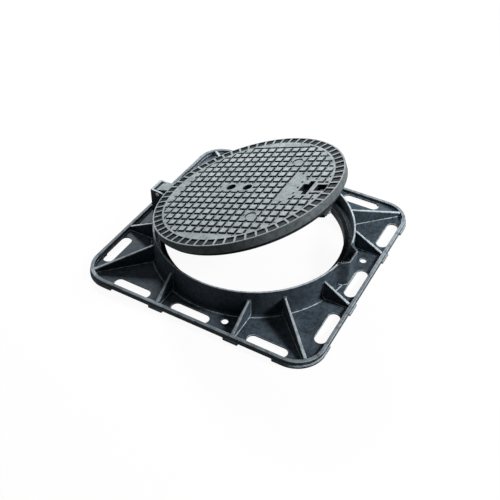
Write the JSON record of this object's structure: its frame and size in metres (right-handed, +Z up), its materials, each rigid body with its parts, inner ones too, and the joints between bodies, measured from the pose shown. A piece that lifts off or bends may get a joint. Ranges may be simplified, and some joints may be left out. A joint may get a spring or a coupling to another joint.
{
  "type": "manhole cover",
  "caption": "Hinged round manhole cover with a chequered iron lid, part open, in a square ribbed frame with anchor slots, a seat gasket and a quarter-turn lock.",
  "frame": {"origin": "middle of the frame's base, on the plane of its feet", "axes": "+Z up, +X from the hinge to the lock and the pry pocket, +Y completes the right hand"},
  "size_m": [0.858, 0.858, 0.356],
  "materials": {
    "coated_iron": "satin black coating",
    "lid_iron": "worn coating",
    "black_rubber": "matt",
    "steel": "plain"
  },
  "bodies": {
    "frame": {"frame": "coated_iron", "seat_gasket": "black_rubber", "hinge_pin": "steel"},
    "lid": {"lid": "lid_iron", "lift_plugs": "lid_iron", "lock_seal": "black_rubber"},
    "lock": {"lock_spindle": "steel", "lock_spring": "steel", "lock_washers": "steel", "lock_tongue": "coated_iron", "lock_nut": "steel", "lock_cotter": "steel"}
  },
  "joints": [
    {"name": "lid_hinge", "type": "hinge", "parent": "frame", "child": "lid", "pos_m": [-0.375, 0, 0.098], "axis": [0, -1, 0], "range_deg": [-20.5, 90]},
    {"name": "lock_turn", "type": "hinge", "parent": "lid", "child": "lock", "pos_m": [0.24482, 0, 0.30198], "axis": [-0.3502, 0, 0.9367], "range_deg": [0, 90]}
  ]
}
